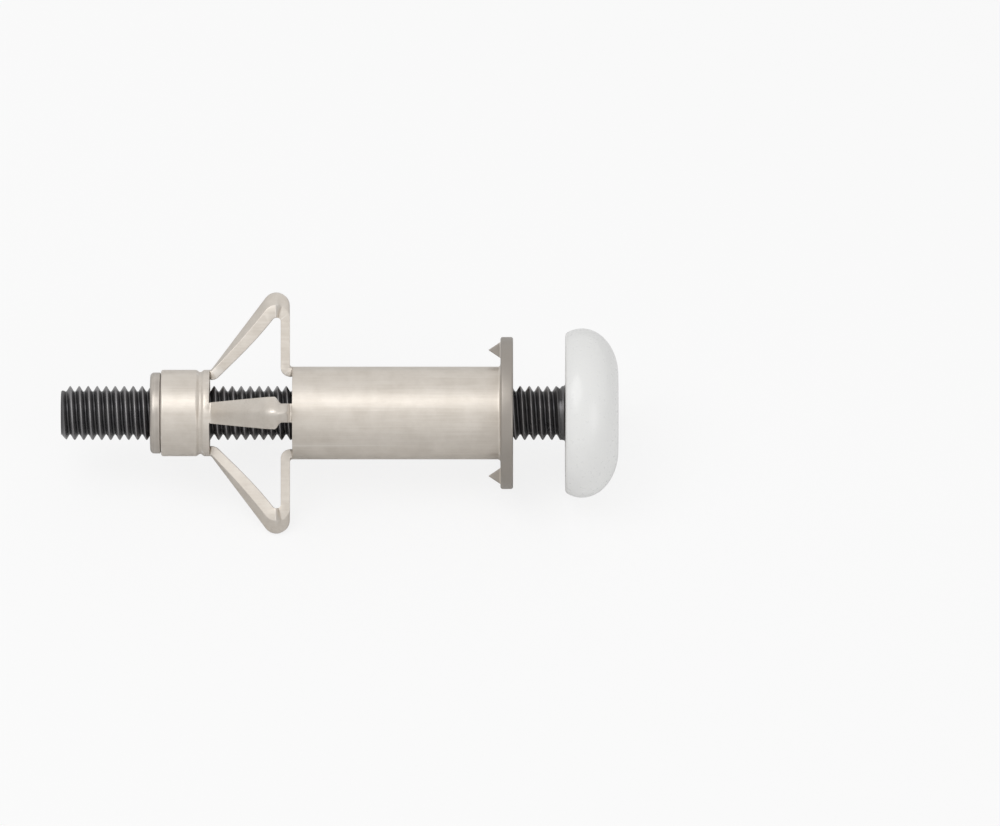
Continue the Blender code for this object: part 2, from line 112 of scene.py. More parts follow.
# Nut
NUT_BODY = 3.75 * MM
NUT_BORE = 3.05 * MM
NUT_RIM_RADIUS = 4.5 * MM
NUT_RIM_LENGTH = 1.15 * MM
NUT_RIM_ROUNDING = 0.45 * MM
NUT_RIM_EDGE_BREAK = 0.12 * MM
NUT_CHAMFER = 0.3 * MM
NUT_COUNTERSINK = 0.25 * MM

# Screw
THREAD_RADIUS = 3.0 * MM
THREAD_PITCH = 1.0 * MM
THREAD_DEPTH = 0.6 * MM
THREAD_CREST = 0.125 * MM
THREAD_ROOT = 0.16 * MM
THREAD_ROUNDING = 0.12
THREAD_RUN_OUT = 0.6 * MM
THREAD_SPARE_TURNS = 2
TIP_CHAMFER = 0.6 * MM
NECK_FILLET = 0.3 * MM
HEAD_HEIGHT = 5.9 * MM
HEAD_RADIUS = 9.4 * MM
HEAD_FLAT_RADIUS = 4.2 * MM
HEAD_WIDEST_HEIGHT = 1.85 * MM
HEAD_EDGE_ROUNDING = 0.25 * MM
RECESS_SPAN = 6.6 * MM
RECESS_WING = 1.5 * MM
RECESS_DEPTH = 3.4 * MM
RECESS_DRAFT = math.radians(26)
RECESS_WING_DRAFT = math.radians(6)
RECESS_CORNER = 0.22 * MM
RECESS_FLOOR_ROUNDING = 0.15 * MM
RECESS_RIM_ROUNDING = 0.12 * MM

# Fineness
LEG_STEPS = 14
GAP_STEPS = 26
ARC_STEP = math.radians(9)
RISE_STEPS = 8
SLOPE_STEPS = 16
CRIMP_STEPS = 16
FLAT_STEPS = 7
SCREW_STEPS = 60
HEAD_STEPS = 40
ROUNDING_STEPS = 4
SHARP_ANGLE = math.radians(38)
ROUND_PROFILE = 0.5
SAME_POINT = 0.0002 * MM

# Places along the axis, read from the solids
FLANGE_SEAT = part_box("anchor_sleeve")[1].x - FLANGE_THICKNESS
COLLAR_REAR_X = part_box("anchor_sleeve")[0].x - FLANGE_SEAT
NUT_REAR_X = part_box("threaded_nut")[0].x - FLANGE_SEAT
NUT_FRONT_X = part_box("threaded_nut")[1].x - FLANGE_SEAT
SCREW_TIP_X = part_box("screw")[0].x - FLANGE_SEAT
HEAD_END_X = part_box("screw")[1].x - FLANGE_SEAT

COLLAR_FRONT_X = COLLAR_REAR_X + COLLAR_LENGTH
CRIMP_X = COLLAR_FRONT_X - CRIMP_SETBACK
LEG_BEARING_X = COLLAR_FRONT_X + CAGE_LENGTH
BARREL_END_X = LEG_BEARING_X + HEEL_RADIUS
NUT_SEAT_X = NUT_REAR_X + NUT_RIM_LENGTH
HEAD_SEAT_X = HEAD_END_X - HEAD_HEIGHT
NECK_X = HEAD_SEAT_X - NECK_FILLET

THREAD_FLANK = (THREAD_PITCH - THREAD_CREST - THREAD_ROOT) / 2
BARREL_INNER = BARREL_OUTER - SHEET
COLLAR_INNER = COLLAR_OUTER - SHEET
LEG_PITCH = 2 * math.pi / LEG_COUNT
LEG_ROOT_ANGLE = 2 * math.asin(LEG_ROOT_WIDTH / 2 / BARREL_OUTER)
LEG_STRIDE = LEG_STEPS + GAP_STEPS

# The anchor lies on two legs, so it is rolled by half the angle between them
PLACING = Matrix.Translation((FLANGE_SEAT, 0.0, 0.0)) @ Matrix.Rotation(LEG_PITCH / 2, 4, "X")

# Tones, from dark to bright
SHEET_TONES = ((0.57, 0.52, 0.46), (0.64, 0.59, 0.53), (0.72, 0.68, 0.63))
# The nut's tones are the sleeve's plating made darker: painted shade.
SHADED_NUT_TONES = ((0.40, 0.365, 0.33), (0.47, 0.43, 0.385), (0.60, 0.565, 0.52))
THREAD_TONES = ((0.065, 0.064, 0.068), (0.24, 0.235, 0.24))
OIL_TONE = (0.12, 0.115, 0.11)
ENAMEL_TONES = ((0.87, 0.87, 0.86), (0.91, 0.91, 0.895))

# Painted shade on the flange's edge and prongs: its tone, its strength and its soft border in mm
EDGE_PAINTED_SHADE_TONE = (0.27, 0.245, 0.22)
EDGE_SHADE = 0.85
EDGE_BORDER = 0.15

# Wear: the pointiness of worn edges, the depth in mm of crests lightened by wear and painted highlight,
# and what is left at the neck
WORN_POINTINESS = (0.52, 0.6)
CREST_BAND = 0.5
NECK_WEAR_AND_HIGHLIGHT = 0.2

# Finishes
SHEET_METALLIC = 0.72
NUT_METALLIC = 0.78
STEEL_METALLIC = 0.88
SHEET_ROUGHNESS = (0.33, 0.45)
NUT_ROUGHNESS = (0.28, 0.4)
STEEL_ROUGHNESS = (0.26, 0.4)
ENAMEL_ROUGHNESS = (0.26, 0.36)
ENAMEL_COAT = 0.2
ENAMEL_COAT_ROUGHNESS = 0.12
FLOOR_ROUGHNESS = 0.9

# Depths of the surface's fine relief
SHEET_GRAIN_DEPTH = 0.006 * MM
DRAW_LINE_DEPTH = 0.008 * MM
TURNED_RING_DEPTH = 0.01 * MM
STEEL_GRAIN_DEPTH = 0.005 * MM
ORANGE_PEEL_DEPTH = 0.012 * MM

# Ranges of a texture's values that are spread out
MIDDLE = (0.35, 0.65)
WIDE = (0.3, 0.7)
LINE_RANGE = (0.35, 0.75)
RING_RANGE = (0.4, 0.8)

# Shares that values are turned into
RISING = (0.0, 1.0)
FALLING = (1.0, 0.0)
LINE_SHARE = (0.0, 0.35)
RING_SHARE = (0.0, 0.4)
OIL_SHARE = (0.0, 0.35)

# Draw lines are noise that is fine round the sleeve and long on its axis
DRAW_LINE_STRETCH = (0.12, 5.0, 5.0)

# Sockets of a colour mix: its share, its first colour and its second
MIX_SOCKETS = (0, 6, 7)

# Picture
PICTURE_WIDTH = 1000
PIXELS_PER_MM = 9.0
PICTURE_CENTRE_X = -0.05 * MM
CAMERA_ELEVATION = math.radians(45)
CAMERA_LENS = 600
CAMERA_SENSOR = 36

# Stage
FLOOR_SIZE = 6.0
FLOOR_COLOUR = (0.88, 0.88, 0.88)
FLOOR_WHITENING = 0.82
WORLD_LIGHT = 0.55
WHITE = (1.0, 1.0, 1.0, 1.0)
KEY_PLACE = (-0.15, -0.10, 0.40)
KEY_SIZE = 0.30
KEY_POWER = 0.62
FILL_PLACE = (0.35, -0.25, 0.20)
FILL_SIZE = 0.25
FILL_POWER = 0.25


# Points and rings


def spread(start, end, steps):
    return [start + (end - start) * step / steps for step in range(steps + 1)]


def point_at(x, radius, angle, sideways=0.0):
    """A point at a radius on the ray at an angle, moved sideways from that ray."""
    y = radius * math.cos(angle) - sideways * math.sin(angle)
    z = radius * math.sin(angle) + sideways * math.cos(angle)
    return Vector((x, y, z))


def sleeve_angles():
    """Angles round the sleeve: close together across a leg's root, then across the slot to the next."""
    angles = []
    for leg in range(LEG_COUNT):
        start = leg * LEG_PITCH - LEG_ROOT_ANGLE / 2
        end = start + LEG_ROOT_ANGLE
        angles += spread(start, end, LEG_STEPS)[:-1]
        angles += spread(end, start + LEG_PITCH, GAP_STEPS)[:-1]
    return angles


def even_angles(steps):
    return spread(0.0, 2 * math.pi, steps)[:-1]


def add_rings(bm, profile, angles):
    return [[bm.verts.new(point_at(x, radius, angle)) for angle in angles] for x, radius in profile]


def join_rings(bm, ring_a, ring_b, skipped=()):
    """Faces between two rings, leaving out the steps that are in skipped."""
    count = len(ring_a)
    for step in range(count):
        if step not in skipped:
            following = (step + 1) % count
            bm.faces.new((ring_a[step], ring_a[following], ring_b[following], ring_b[step]))


def join_in_turn(bm, rings):
    for ring_a, ring_b in zip(rings, rings[1:]):
        join_rings(bm, ring_a, ring_b)


def arc(centre, size_x, size_radius, start, end, steps):
    """Points (x, radius) on an ellipse about a centre; angles in degrees run from +X outwards."""
    points = []
    for angle in spread(math.radians(start), math.radians(end), steps):
        points.append((centre[0] + size_x * math.cos(angle), centre[1] + size_radius * math.sin(angle)))
    return points


def rounding(x, radius, size, start, end):
    """A quarter round or fillet about a centre."""
    return arc((x, radius), size, size, start, end, 2 * ROUNDING_STEPS)


# Objects


def finished_mesh(name, bm):
    bmesh.ops.recalc_face_normals(bm, faces=bm.faces)
    mesh = bpy.data.meshes.new(name)
    bm.to_mesh(mesh)
    bm.free()
    return mesh


def make_object(name, bm):
    thing = bpy.data.objects.new(name, finished_mesh(name, bm))
    bpy.context.scene.collection.objects.link(thing)
    return thing


def combine(thing, bm, operation):
    """Joins a closed tool to a thing, or cuts it out, for good."""
    tool = make_object("tool", bm)
    modifier = thing.modifiers.new(operation, "BOOLEAN")
    modifier.operation = operation
    modifier.solver = "EXACT"
    modifier.object = tool
    apply_modifiers(thing)
    bpy.data.objects.remove(tool)


def apply_modifiers(thing):
    evaluated = thing.evaluated_get(bpy.context.evaluated_depsgraph_get())
    mesh = bpy.data.meshes.new_from_object(evaluated)
    thing.modifiers.clear()
    thing.data = mesh


def break_edges(thing):
    """Rounds every crisp edge of a sheet a little."""
    modifier = thing.modifiers.new("edge break", "BEVEL")
    modifier.width = EDGE_BREAK
    modifier.segments = EDGE_BREAK_STEPS
    modifier.limit_method = "ANGLE"
    modifier.angle_limit = EDGE_BREAK_ANGLE
    apply_modifiers(thing)


def round_off(bm, edges, size):
    """Rounds some edges of a piece that is still being built."""
    bmesh.ops.bevel(
        bm,
        geom=edges,
        offset=size,
        segments=EDGE_BREAK_STEPS,
        profile=ROUND_PROFILE,
        affect="EDGES",
    )


def shade(thing):
    """Smooth shading with flats kept flat."""
    thing.data.shade_smooth()
    thing.data.set_sharp_from_angle(angle=SHARP_ANGLE)
    modifier = thing.modifiers.new("flat faces stay flat", "WEIGHTED_NORMAL")
    modifier.keep_sharp = True
    apply_modifiers(thing)


def dress(thing, body, node, materials):
    """Places a finished piece, gives it its materials and hides the solid it stands for."""
    thing.data.transform(PLACING)
    for material in materials:
        thing.data.materials.append(material)
    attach(thing, body)
    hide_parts(node)


# Sleeve


def across_flat(x, start, end):
    """Points (x, radius) across a flat face, without its borders; they keep worn edges narrow."""
    return [(x, radius) for radius in spread(start, end, FLAT_STEPS)[1:-1]]


def flange_and_barrel_profile():
    """From the barrel's end along the bore, round the flange and back along the outside."""
    face_x = FLANGE_THICKNESS
    rim_radius = FLANGE_RADIUS - FLANGE_ROUNDING
    mouth_radius = BARREL_INNER + MOUTH_ROUNDING
    fillet_radius = BARREL_OUTER + FLANGE_FILLET
    mouth = rounding(face_x - MOUTH_ROUNDING, mouth_radius, MOUTH_ROUNDING, -90, 0)
    front = across_flat(face_x, mouth_radius, rim_radius)
    rim_front = rounding(face_x - FLANGE_ROUNDING, rim_radius, FLANGE_ROUNDING, 0, 90)
    rim_back = rounding(FLANGE_ROUNDING, rim_radius, FLANGE_ROUNDING, 90, 180)
    back = across_flat(0.0, rim_radius, fillet_radius)
    fillet = rounding(-FLANGE_FILLET, fillet_radius, FLANGE_FILLET, 0, -90)
    bore = [(BARREL_END_X, BARREL_INNER)]
    outside = [(BARREL_END_X, BARREL_OUTER)]
    return bore + mouth + front + rim_front + rim_back + back + fillet + outside


def crimp_dip(x):
    """How far the crimp presses the collar's wall inwards at a place along the axis."""
    offset = (x - CRIMP_X) / (CRIMP_WIDTH / 2)
    return CRIMP_DEPTH * (1 + math.cos(math.pi * offset)) / 2


def crimped_wall(radius):
    """Points (x, radius) across the crimp, from its front to its rear."""
    places = spread(CRIMP_X + CRIMP_WIDTH / 2, CRIMP_X - CRIMP_WIDTH / 2, CRIMP_STEPS)
    return [(x, radius - crimp_dip(x)) for x in places]


def collar_profile():
    """From the collar's front along the outside, over the crimp, round the rear and back inside."""
    rear_radius = COLLAR_OUTER - COLLAR_ROUNDING
    rear = rounding(COLLAR_REAR_X + COLLAR_ROUNDING, rear_radius, COLLAR_ROUNDING, 90, 180)
    outside = [(COLLAR_FRONT_X, COLLAR_OUTER)] + crimped_wall(COLLAR_OUTER)
    inside = [(COLLAR_REAR_X, COLLAR_INNER)] + crimped_wall(COLLAR_INNER)[::-1]
    return outside + rear + inside + [(COLLAR_FRONT_X, COLLAR_INNER)]


def heel_centre():
    return BARREL_END_X, BARREL_OUTER + HEEL_RADIUS


def crown_centre():
    return LEG_BEARING_X - SHEET - CROWN_RADIUS, LEG_REACH - SHEET - CROWN_RADIUS


def toe_centre():
    return COLLAR_FRONT_X, COLLAR_OUTER + TOE_RADIUS


def leg_slope():
    """Angle of the leg's straight slope: it touches the crown's bend above and the toe's bend below."""
    crown_x, crown_height = crown_centre()
    toe_x, toe_height = toe_centre()
    run = crown_x - toe_x
    rise = crown_height - toe_height
    radii = CROWN_RADIUS + TOE_RADIUS + SHEET
    return math.atan2(rise, run) + math.asin(radii / math.hypot(run, rise))


def bend(centre, radius, side, start, end):
    """Stations on a bend of a leg's middle line, as (x, height above the axis, heading).

    A heading is the way that the line runs, as an angle from +X outwards. The side is 1 where the sheet's
    outer face is on the outside of the bend, and -1 where it is on the inside.
    """
    steps = math.ceil(abs(end - start) / ARC_STEP)
    stations = []
    for heading in spread(start, end, steps):
        normal = heading - math.pi / 2
        x = centre[0] + side * radius * math.cos(normal)
        height = centre[1] + side * radius * math.sin(normal)
        stations.append((x, height, heading))
    return stations


def straight(start, end, steps):
    """Stations between two others, without either."""
    stations = []
    for part in spread(0.0, 1.0, steps)[1:-1]:
        x = start[0] + (end[0] - start[0]) * part
        height = start[1] + (end[1] - start[1]) * part
        stations.append((x, height, end[2]))
    return stations


def leg_stations():
    """The leg's middle line from barrel to collar, and which station is its crown."""
    up = math.pi / 2
    back = math.pi
    down_slope = back + leg_slope()
    half = SHEET / 2
    heel = bend(heel_centre(), HEEL_RADIUS + half, -1, back, up)
    crown_rise = bend(crown_centre(), CROWN_RADIUS + half, 1, up, back)
    crown_fall = bend(crown_centre(), CROWN_RADIUS + half, 1, back, down_slope)[1:]
    toe = bend(toe_centre(), TOE_RADIUS + half, -1, down_slope, back)
    rise = straight(heel[-1], crown_rise[0], RISE_STEPS)
    slope = straight(crown_fall[-1], toe[0], SLOPE_STEPS)
    return heel + rise + crown_rise + crown_fall + slope + toe, len(heel + rise + crown_rise) - 1


def distances(stations):
    """Distance of each station along the middle line from the first."""
    total = 0.0
    result = [total]
    for (x_a, height_a, _), (x_b, height_b, _) in zip(stations, stations[1:]):
        total += math.hypot(x_b - x_a, height_b - height_a)
        result.append(total)
    return result


def blend(start, end, part):
    part = min(max(part, 0.0), 1.0)
    return start + (end - start) * part


def ease(part):
    """Turns an even rise from 0 to 1 into one that starts and ends gently."""
    part = min(max(part, 0.0), 1.0)
    return part * part * (3 - 2 * part)


def leg_width(to_crown, from_collar):
    """Narrow up to a shoulder just before the crown, widest at the crown, then tapering to the collar."""
    if to_crown > 0:
        return blend(LEG_WAIST_WIDTH, LEG_CROWN_WIDTH, ease(1 - to_crown / SHOULDER_LENGTH))
    return blend(LEG_ROOT_WIDTH, LEG_CROWN_WIDTH, from_collar)


def arch_height(sideways):
    """Height of the crown's arch above a point to the side: a rounded ridge with even flanks."""
    return math.hypot(ARCH_ROUNDING, sideways) - ARCH_ROUNDING


def root_arch():
    """Share of the crown's arch that the plain tube has across a leg's root."""
    tube = BARREL_OUTER * (1 - math.cos(LEG_ROOT_ANGLE / 2))
    return tube / arch_height(LEG_CROWN_WIDTH / 2)


def leg_section(bm, station, width, arch, angle):
    """A loop of points round a leg: across its outer face, then back across its inner face.

    The arch lowers the leg's sides towards the axis. It lowers the inner face a little more than the
    outer one, so that the sheet keeps its thickness where the flanks are steep.
    """
    x, height, heading = station
    normal_x = math.sin(heading)
    normal_height = -math.cos(heading)
    outer = []
    inner = []
    for part in spread(-1.0, 1.0, LEG_STEPS):
        sideways = part * width / 2
        ridge = part * LEG_CROWN_WIDTH / 2
        drop = arch * arch_height(ridge)
        flank = arch * ridge / math.hypot(ARCH_ROUNDING, ridge)
        inner_drop = drop + SHEET * (math.hypot(1.0, flank) - 1.0)
        for row, offset, lowered in ((outer, SHEET / 2, drop), (inner, -SHEET / 2, inner_drop)):
            point_x = x + offset * normal_x
            point_height = height + offset * normal_height - lowered
            row.append(bm.verts.new(point_at(point_x, point_height, angle, sideways)))
    return outer + inner[::-1]


def add_leg(bm, index, barrel_loop, collar_loop):
    """Lofts a leg from the end of the barrel to the front of the collar."""
    stations, crown_index = leg_stations()
    places = distances(stations)
    crown_place = places[crown_index]
    least_arch = root_arch()
    loops = [barrel_loop]
    for station, place in list(zip(stations, places))[1:-1]:
        from_barrel = place / crown_place
        from_collar = (places[-1] - place) / (places[-1] - crown_place)
        rising = min(from_barrel, from_collar)
        arch = blend(least_arch, 1.0, math.sin(rising * math.pi / 2))
        width = leg_width(crown_place - place, from_collar)
        loops.append(leg_section(bm, station, width, arch, index * LEG_PITCH))
    join_in_turn(bm, loops + [collar_loop])


def root_loop(outer_ring, inner_ring, index):
    """The points of a tube's end that a leg grows from."""
    first = index * LEG_STRIDE
    picks = [(first + step) % len(outer_ring) for step in range(LEG_STEPS + 1)]
    return [outer_ring[pick] for pick in picks] + [inner_ring[pick] for pick in picks[::-1]]


def sleeve_tube():
    """The drawn tube with its legs folded out, as one closed sheet."""
    bm = bmesh.new()
    angles = sleeve_angles()
    barrel = add_rings(bm, flange_and_barrel_profile(), angles)
    collar = add_rings(bm, collar_profile(), angles)
    join_in_turn(bm, barrel)
    join_in_turn(bm, collar)
    under_legs = {leg * LEG_STRIDE + step for leg in range(LEG_COUNT) for step in range(LEG_STEPS)}
    join_rings(bm, barrel[-1], barrel[0], under_legs)
    join_rings(bm, collar[-1], collar[0], under_legs)
    for leg in range(LEG_COUNT):
        barrel_loop = root_loop(barrel[-1], barrel[0], leg)
        collar_loop = root_loop(collar[0], collar[-1], leg)
        add_leg(bm, leg, barrel_loop, collar_loop)
    return bm


def add_prism(bm, outline, direction):
    """Extrudes an outline of points into a closed solid."""
    face = bm.faces.new([bm.verts.new(point) for point in outline])
    grown = bmesh.ops.extrude_face_region(bm, geom=[face])
    moved = [item for item in grown["geom"] if isinstance(item, bmesh.types.BMVert)]
    bmesh.ops.translate(bm, verts=moved, vec=direction)


def prong_span():
    """Inner, middle and outer radius of a prong's foot."""
    outer = FLANGE_RADIUS - PRONG_RIM_MARGIN
    inner = outer - PRONG_WIDTH
    return inner, (inner + outer) / 2, outer


def prong_blades():
    """A pointed blade for each prong, rooted in the flange, a hair to one side of its ray."""
    inner, middle, outer = prong_span()
    side = -PRONG_THICKNESS - PRONG_SETBACK
    bm = bmesh.new()
    for angle in PRONG_ANGLES:
        outline = [
            point_at(PRONG_ROOT, inner, angle, side),
            point_at(0.0, inner, angle, side),
            point_at(-PRONG_LENGTH, middle, angle, side),
            point_at(0.0, outer, angle, side),
            point_at(PRONG_ROOT, outer, angle, side),
        ]
        add_prism(bm, outline, point_at(0.0, 0.0, angle, PRONG_THICKNESS))
    bmesh.ops.recalc_face_normals(bm, faces=bm.faces)
    round_off(bm, list(bm.edges), PRONG_EDGE_BREAK)
    return bm


def prong_windows():
    """The pointed opening that each prong leaves in the flange, a hair to the other side of its ray."""
    inner, middle, outer = prong_span()
    side = PRONG_SETBACK
    through = Vector((FLANGE_THICKNESS + 2 * CUT_MARGIN, 0.0, 0.0))
    bm = bmesh.new()
    for angle in PRONG_ANGLES:
        outline = [
            point_at(-CUT_MARGIN, inner, angle, side),
            point_at(-CUT_MARGIN, outer, angle, side),
            point_at(-CUT_MARGIN, middle, angle, side + PRONG_LENGTH),
        ]
        add_prism(bm, outline, through)
    return bm


def make_sleeve(materials):
    sleeve = make_object("pressed_sleeve", sleeve_tube())
    break_edges(sleeve)
    combine(sleeve, prong_blades(), "UNION")
    combine(sleeve, prong_windows(), "DIFFERENCE")
    shade(sleeve)
    dress(sleeve, "sleeve", "anchor_sleeve", materials)


# Nut


def nut_profile():
    size = NUT_RIM_ROUNDING
    edge = NUT_RIM_EDGE_BREAK
    rim_rear = rounding(NUT_REAR_X + size, NUT_RIM_RADIUS - size, size, 180, 90)
    rim_front = rounding(NUT_SEAT_X - edge, NUT_RIM_RADIUS - edge, edge, 90, 0)
    body = [
        (NUT_SEAT_X, NUT_BODY),
        (NUT_FRONT_X - NUT_CHAMFER, NUT_BODY),
        (NUT_FRONT_X, NUT_BODY - NUT_CHAMFER),
    ]
    bore = [
        (NUT_FRONT_X, NUT_BORE),
        (NUT_REAR_X + NUT_COUNTERSINK, NUT_BORE),
        (NUT_REAR_X, NUT_BORE + NUT_COUNTERSINK),
    ]
    return rim_rear + rim_front + body + bore


def make_nut(materials):
    bm = bmesh.new()
    rings = add_rings(bm, nut_profile(), even_angles(LEG_COUNT * LEG_STRIDE))
    join_in_turn(bm, rings + rings[:1])
    nut = make_object("collared_nut", bm)
    shade(nut)
    dress(nut, "sleeve", "threaded_nut", materials)


# Screw


def rounded_ramp(part):
    """A rise from 0 to 1 along a straight flank, rounded where it starts and ends."""
    if part > 0.5:
        return 1 - rounded_ramp(1 - part)
    if part > THREAD_ROUNDING:
        return part
    return max(part + THREAD_ROUNDING, 0.0) ** 2 / (4 * THREAD_ROUNDING)


def thread_drop(turns):
    """Depth of the thread's surface below its crest, at some turns from the middle of a crest."""
    from_crest = abs(turns - round(turns)) * THREAD_PITCH
    return THREAD_DEPTH * rounded_ramp((from_crest - THREAD_CREST / 2) / THREAD_FLANK)


def thread_places():
    """Places of the thread's rows along one pitch, from the middle of a crest, in turns."""
    shares = (-THREAD_ROUNDING, 0.0, THREAD_ROUNDING, 1 - THREAD_ROUNDING, 1.0, 1 + THREAD_ROUNDING)
    falling = [(THREAD_CREST / 2 + share * THREAD_FLANK) / THREAD_PITCH for share in shares]
    return falling + [1 - place for place in falling[::-1]]


def thread_radius(x, turn):
    """Radius of the thread at a place and a turn: chamfered at the tip and run out at the neck."""
    crests = (x - SCREW_TIP_X) / THREAD_PITCH - turn
    running_out = ease((NECK_X - x) / THREAD_RUN_OUT)
    tip_limit = THREAD_RADIUS - TIP_CHAMFER + (x - SCREW_TIP_X)
    return min(THREAD_RADIUS - thread_drop(crests) * running_out, tip_limit)


def thread_rows(bm):
    """Rows of points along the helix, each one turn long; past the ends they lie on the end rings."""
    turns = math.ceil((NECK_X - SCREW_TIP_X) / THREAD_PITCH)
    rows = []
    for turn in range(-THREAD_SPARE_TURNS, turns + THREAD_SPARE_TURNS):
        for place in thread_places():
            row = []
            for step in range(SCREW_STEPS):
                part = step / SCREW_STEPS
                x = SCREW_TIP_X + (turn + place + part) * THREAD_PITCH
                x = min(max(x, SCREW_TIP_X), NECK_X)
                point = point_at(x, thread_radius(x, part), 2 * math.pi * part)
                row.append(bm.verts.new(point))
            rows.append(row)
    return rows


def add_thread(bm):
    """A right-hand thread as one skin: the end of each row meets the start of the row one pitch on."""
    rows = thread_rows(bm)
    pitch_rows = len(thread_places())
    for index in range(len(rows) - pitch_rows - 1):
        row_a = rows[index] + rows[index + pitch_rows][:1]
        row_b = rows[index + 1] + rows[index + 1 + pitch_rows][:1]
        for step in range(SCREW_STEPS):
            bm.faces.new((row_a[step], row_a[step + 1], row_b[step + 1], row_b[step]))


def neck_fillet():
    return rounding(NECK_X, THREAD_RADIUS + NECK_FILLET, NECK_FILLET, -90, 0)


def head_dome():
    """From the rim of the head's seat round its dome to its flat end."""
    crown_height = HEAD_HEIGHT - HEAD_WIDEST_HEIGHT
    overhang = HEAD_RADIUS - HEAD_FLAT_RADIUS
    seat_angle = 90 + math.degrees(math.asin(HEAD_WIDEST_HEIGHT / crown_height))
    centre = (HEAD_SEAT_X + HEAD_WIDEST_HEIGHT, HEAD_FLAT_RADIUS)
    return arc(centre, crown_height, overhang, seat_angle, 0, HEAD_STEPS)


def cross_outline(span, wing, tip_corner, inner_corner):
    """Points (y, z) round a cross with rounded corners, given from tip to tip and across a wing."""
    tip = span / 2
    side = wing / 2
    arm = rounding(side + inner_corner, -side - inner_corner, inner_corner, 180, 90)
    arm += rounding(tip - tip_corner, tip_corner - side, tip_corner, -90, 0)
    arm += rounding(tip - tip_corner, side - tip_corner, tip_corner, 0, 90)
    points = []
    for quarter in range(4):
        cosine = math.cos(quarter * math.pi / 2)
        sine = math.sin(quarter * math.pi / 2)
        points += [(y * cosine - z * sine, y * sine + z * cosine) for y, z in arm]
    return points


def recess_sections():
    """Depths, and how far the outline stands outside the plain wall there, from the rim to the floor."""
    rim = RECESS_RIM_ROUNDING
    floor = RECESS_FLOOR_ROUNDING
    return rounding(rim, rim, rim, 180, 270) + rounding(RECESS_DEPTH - floor, -floor, floor, 90, 0)


def add_recess(bm):
    """The driver's cross, whose wings narrow and thin towards its floor; returns the ring of its rim."""
    rings = []
    for depth, outset in recess_sections():
        span = RECESS_SPAN + 2 * (outset - math.tan(RECESS_DRAFT) * depth)
        wing = RECESS_WING + 2 * (outset - math.tan(RECESS_WING_DRAFT) * depth)
        outline = cross_outline(span, wing, RECESS_CORNER + outset, RECESS_CORNER - outset)
        rings.append([bm.verts.new((HEAD_END_X - depth, y, z)) for y, z in outline])
    join_in_turn(bm, rings)
    bm.faces.new(rings[-1])
    return rings[0]


def ring_edges(bm, ring):
    return [bm.edges.get((a, b)) for a, b in zip(ring, ring[1:] + ring[:1])]


def add_head(bm):
    """From the neck's fillet over the dome to the flat end, with the recess in it."""
    neck = neck_fillet()
    rings = add_rings(bm, neck + head_dome(), even_angles(SCREW_STEPS))
    join_in_turn(bm, rings)
    end_edges = ring_edges(bm, rings[-1]) + ring_edges(bm, add_recess(bm))
    bmesh.ops.triangle_fill(bm, edges=end_edges, use_beauty=True)
    seat_rim = rings[len(neck)]
    round_off(bm, ring_edges(bm, seat_rim), HEAD_EDGE_ROUNDING)


def make_screw(materials):
    """Neck, thread and tip take the first material, and the head from its seat on takes the second."""
    bm = bmesh.new()
    add_head(bm)
    for face in bm.faces:
        face.material_index = int(face.calc_center_median().x > HEAD_SEAT_X - SAME_POINT)
    add_thread(bm)
    tip_ring = add_rings(bm, [(SCREW_TIP_X, THREAD_RADIUS - TIP_CHAMFER)], even_angles(SCREW_STEPS))[0]
    bm.faces.new(tip_ring)
    bmesh.ops.remove_doubles(bm, verts=bm.verts, dist=SAME_POINT)
    screw = make_object("machine_screw", bm)
    shade(screw)
    dress(screw, "screw", "screw", materials)


# Materials


def add_node(tree, kind, inputs=None, **settings):
    """A node with some of its settings and of its inputs; an input that is a socket is linked."""
    node = tree.nodes.new(kind)
    for name, value in settings.items():
        setattr(node, name, value)
    for name, value in (inputs or {}).items():
        if isinstance(value, bpy.types.NodeSocket):
            tree.links.new(value, node.inputs[name])
        else:
            node.inputs[name].default_value = value
    return node


def new_material(name, **constants):
    """A Principled material; the constants are set on the shader's own sockets."""
    material = bpy.data.materials.new(name)
    material.use_nodes = True
    tree = material.node_tree
    shader = tree.nodes["Principled BSDF"]
    for socket, value in constants.items():
        shader.inputs[socket.replace("_", " ").title()].default_value = value
    return material, tree, shader


def millimetres(tree, stretch=(1.0, 1.0, 1.0)):
    """The piece's own coordinates in millimetres, stretched."""
    place = add_node(tree, "ShaderNodeTexCoord").outputs["Object"]
    scale = tuple(part / MM for part in stretch)
    return add_node(tree, "ShaderNodeMapping", {"Vector": place, "Scale": scale}).outputs["Vector"]


def along_and_out(tree):
    """Distances in millimetres: along the axis from the origin, and out from the axis."""
    parts = add_node(tree, "ShaderNodeSeparateXYZ", {"Vector": millimetres(tree)})
    across = add_node(tree, "ShaderNodeCombineXYZ", {"Y": parts.outputs["Y"], "Z": parts.outputs["Z"]})
    out = add_node(tree, "ShaderNodeVectorMath", {0: across.outputs[0]}, operation="LENGTH")
    return parts.outputs["X"], out.outputs["Value"]


def ring_place(tree):
    """Coordinates in millimetres that turn a texture into rings round the axis."""
    along, radius = along_and_out(tree)
    return add_node(tree, "ShaderNodeCombineXYZ", {"X": along, "Y": radius}).outputs[0]


def noise(tree, place, scale, detail=3.0, roughness=0.5):
    inputs = {"Vector": place, "Scale": scale, "Detail": detail, "Roughness": roughness}
    return add_node(tree, "ShaderNodeTexNoise", inputs).outputs["Fac"]


def remap(tree, value, source, target):
    """Moves a value from one range to another and holds it there; a range is a pair of its ends."""
    inputs = {"Value": value}
    inputs["From Min"], inputs["From Max"] = source
    inputs["To Min"], inputs["To Max"] = target
    return add_node(tree, "ShaderNodeMapRange", inputs).outputs["Result"]


def product(tree, value_a, value_b):
    return add_node(tree, "ShaderNodeMath", {0: value_a, 1: value_b}, operation="MULTIPLY").outputs[0]


